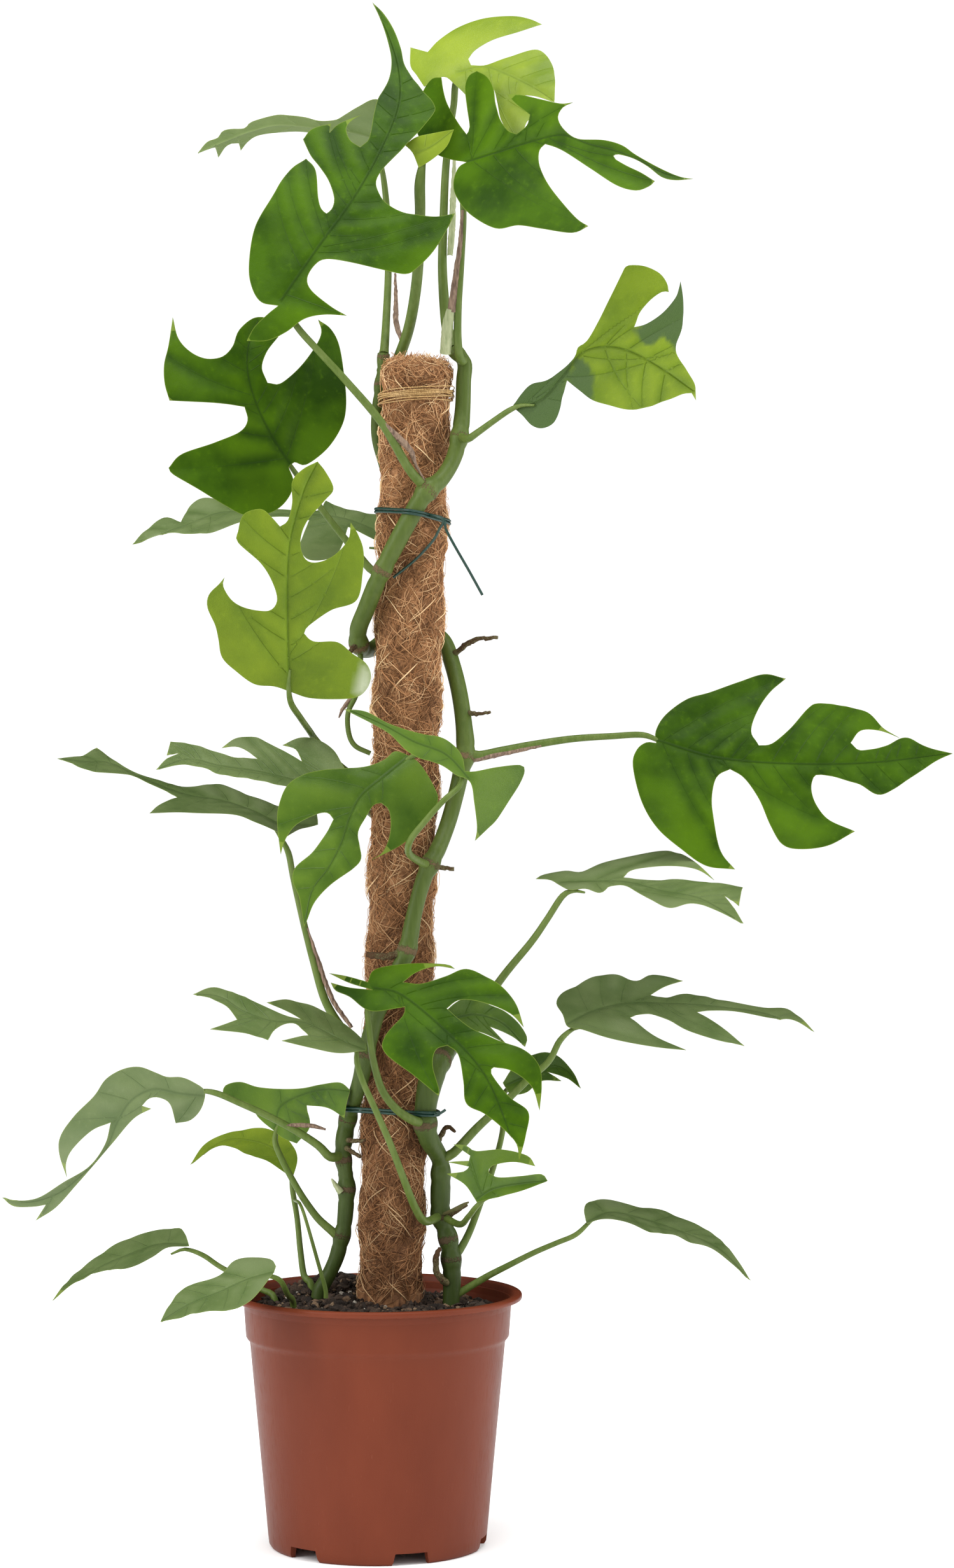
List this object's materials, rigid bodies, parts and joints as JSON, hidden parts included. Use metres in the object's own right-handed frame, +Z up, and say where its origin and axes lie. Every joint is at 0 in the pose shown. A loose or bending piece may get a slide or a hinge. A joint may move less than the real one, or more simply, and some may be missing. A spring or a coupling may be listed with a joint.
{
  "type": "potted mini monstera on a coir pole",
  "caption": "Mini monstera: a climbing aroid with cut leaves and petioles on twining stems, tied to a leaning coir pole and rooted in soil in a footed nursery pot.",
  "frame": {"origin": "centre of the whole plant's box on the ground plane under the pot's feet; the pot stands left of it", "axes": "+Z up; -Y towards the front of the plant, where its widest leaf spread shows; +X to the right of the front"},
  "size_m": [0.6416, 0.2566, 1.0175],
  "materials": {
    "leaf_deep_green": "waxy leaf, dark glossy green",
    "leaf_mid_green": "waxy leaf, mid green",
    "leaf_new_green": "new leaf or leaf underside, pale matt green",
    "vine_green": "smooth green stem, satin",
    "pot_terracotta": "terracotta-brown satin moulded plastic",
    "potting_soil": "coarse dark potting soil",
    "coir": "matted coconut fibre",
    "stake_wood": "raw wooden rod",
    "golden_twine": "glossy golden twine",
    "tie_green": "dark green coated wire"
  },
  "bodies": {
    "root": {"coir_pole": "coir", "leaf_01": "leaf_new_green", "leaf_02": "leaf_deep_green", "leaf_03": "leaf_mid_green", "leaf_04": "leaf_new_green", "leaf_05": "leaf_deep_green", "leaf_06": "leaf_new_green", "leaf_07": "leaf_deep_green", "leaf_08": "leaf_new_green", "leaf_09": "leaf_mid_green", "leaf_10": "leaf_mid_green", "leaf_11": "leaf_mid_green", "leaf_12": "leaf_mid_green", "leaf_13": "leaf_mid_green", "leaf_14": "leaf_deep_green", "leaf_15": "leaf_mid_green", "leaf_16": "leaf_deep_green", "leaf_17": "leaf_mid_green", "leaf_18": "leaf_mid_green", "leaf_19": "leaf_deep_green", "leaf_20": "leaf_deep_green", "leaf_21": "leaf_mid_green", "leaf_22": "leaf_new_green", "leaf_23": "leaf_mid_green", "leaf_24": "leaf_mid_green", "leaf_25": "leaf_mid_green", "leaf_26": "leaf_mid_green", "leaf_27": "leaf_mid_green", "pole_binding": "golden_twine", "pole_stake": "stake_wood", "pot": "pot_terracotta", "soil": "potting_soil", "tie_lower": "tie_green", "tie_upper": "tie_green", "vine_left": "vine_green", "vine_right": "vine_green"}
  },
  "joints": []
}
